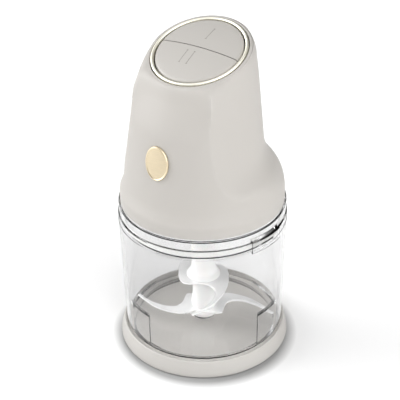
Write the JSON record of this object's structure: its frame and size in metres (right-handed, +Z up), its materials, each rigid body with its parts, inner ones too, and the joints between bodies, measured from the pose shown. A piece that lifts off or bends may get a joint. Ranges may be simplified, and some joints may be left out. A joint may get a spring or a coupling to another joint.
{
  "type": "food processor",
  "caption": "Upright mini food chopper: clear bowl with S-blades on a spindle, anti-slip base, twist-lock lid and a geared motor head pressed on two half-round top buttons.",
  "frame": {"origin": "centre of the underside of the rubber foot ring, on the spindle axis, at worktop level", "axes": "+Z up along the spindle axis; -Y is the front, where the badge is and towards which the control panel slopes down; +X to the right seen from the front"},
  "size_m": [0.13, 0.13, 0.2505],
  "materials": {
    "cream_satin": "satin cream ABS",
    "clear_plastic": "clear polished plastic",
    "white_plastic": "white moulded plastic",
    "black_plastic": "black plastic",
    "grey_plastic": "grey filled nylon",
    "nylon": "natural nylon",
    "pale_gold": "pale gold anodised",
    "blade_steel": "ground stainless steel",
    "steel": "machined steel",
    "lamination": "stacked electrical steel",
    "ferrite": "sintered ferrite",
    "copper": "enamelled copper",
    "bronze": "sintered bronze",
    "carbon": "pressed carbon",
    "rubber": "dark grey rubber",
    "seal_rubber": "white silicone",
    "board_green": "green laminate"
  },
  "bodies": {
    "base": {"base_ring": "cream_satin", "foot_ring": "rubber"},
    "bowl": {"bowl": "clear_plastic", "bowl_pin": "steel"},
    "blades": {"blade_hub": "white_plastic", "hub_spacer": "white_plastic", "hub_sleeve": "white_plastic", "lower_blade": "blade_steel", "upper_blade": "blade_steel"},
    "lid": {"lid": "clear_plastic", "lid_seal": "seal_rubber"},
    "head": {"motor_housing": "cream_satin", "bottom_cover": "cream_satin", "trim_ring": "pale_gold", "button_seat": "black_plastic", "badge_plate": "pale_gold", "cord_gland": "rubber", "gearbox_case": "grey_plastic", "ring_gear": "nylon", "output_bush": "bronze", "motor_bracket": "grey_plastic", "motor_can": "steel", "field_magnet_1": "ferrite", "field_magnet_2": "ferrite", "motor_end_cap": "grey_plastic", "bearing_lower": "steel", "bearing_upper": "steel", "carbon_brush_1": "carbon", "carbon_brush_2": "carbon", "brush_holder_1": "bronze", "brush_holder_2": "bronze", "control_board": "board_green", "switch_low": "black_plastic", "switch_high": "black_plastic", "cover_screw_1": "steel", "cover_screw_2": "steel", "cover_screw_3": "steel"},
    "armature": {"motor_shaft": "steel", "armature_core": "lamination", "winding_lower": "copper", "winding_upper": "copper", "commutator": "copper", "cooling_fan": "black_plastic", "sun_gear": "steel"},
    "carrier": {"planet_carrier": "steel", "drive_coupler": "grey_plastic"},
    "planet_1": {"planet_gear_1": "nylon"},
    "planet_2": {"planet_gear_2": "nylon"},
    "planet_3": {"planet_gear_3": "nylon"},
    "button_low": {"button_low": "cream_satin"},
    "button_high": {"button_high": "cream_satin"}
  },
  "joints": [
    {"name": "bowl_lift", "type": "slide", "parent": "base", "child": "bowl", "axis": [0, 0, 1], "range_m": [0, 0.03]},
    {"name": "blade_spin", "type": "hinge", "parent": "bowl", "child": "blades", "pos_m": [0, 0, 0.05], "axis": [0, 0, 1], "continuous": true},
    {"name": "lid_twist", "type": "hinge", "parent": "bowl", "child": "lid", "pos_m": [0, 0, 0.115], "axis": [0, 0, 1], "range_deg": [-25, 0]},
    {"name": "head_lift", "type": "slide", "parent": "lid", "child": "head", "axis": [0, 0, 1], "range_m": [0, 0.06]},
    {"name": "carrier_spin", "type": "hinge", "parent": "head", "child": "carrier", "pos_m": [0, 0, 0.125], "axis": [0, 0, 1], "continuous": true},
    {"name": "motor_spin", "type": "hinge", "parent": "head", "child": "armature", "pos_m": [0, 0, 0.18], "axis": [0, 0, 1], "continuous": true},
    {"name": "planet_1_spin", "type": "hinge", "parent": "carrier", "child": "planet_1", "pos_m": [0.015, 0, 0.137], "axis": [0, 0, 1], "continuous": true},
    {"name": "planet_2_spin", "type": "hinge", "parent": "carrier", "child": "planet_2", "pos_m": [-0.0075, 0.01299, 0.137], "axis": [0, 0, 1], "continuous": true},
    {"name": "planet_3_spin", "type": "hinge", "parent": "carrier", "child": "planet_3", "pos_m": [-0.0075, -0.01299, 0.137], "axis": [0, 0, 1], "continuous": true},
    {"name": "button_low_press", "type": "slide", "parent": "head", "child": "button_low", "axis": [0, 0.342, -0.9397], "range_m": [0, 0.002], "stiffness_N_per_m": 400, "springref_m": -0.001},
    {"name": "button_high_press", "type": "slide", "parent": "head", "child": "button_high", "axis": [0, 0.342, -0.9397], "range_m": [0, 0.002], "stiffness_N_per_m": 400, "springref_m": -0.001}
  ],
  "couplings": [
    {"joint": "carrier_spin", "follows": "blade_spin", "ratio": 1},
    {"joint": "motor_spin", "follows": "blade_spin", "ratio": 4},
    {"joint": "planet_1_spin", "follows": "blade_spin", "ratio": -3},
    {"joint": "planet_2_spin", "follows": "blade_spin", "ratio": -3},
    {"joint": "planet_3_spin", "follows": "blade_spin", "ratio": -3}
  ]
}
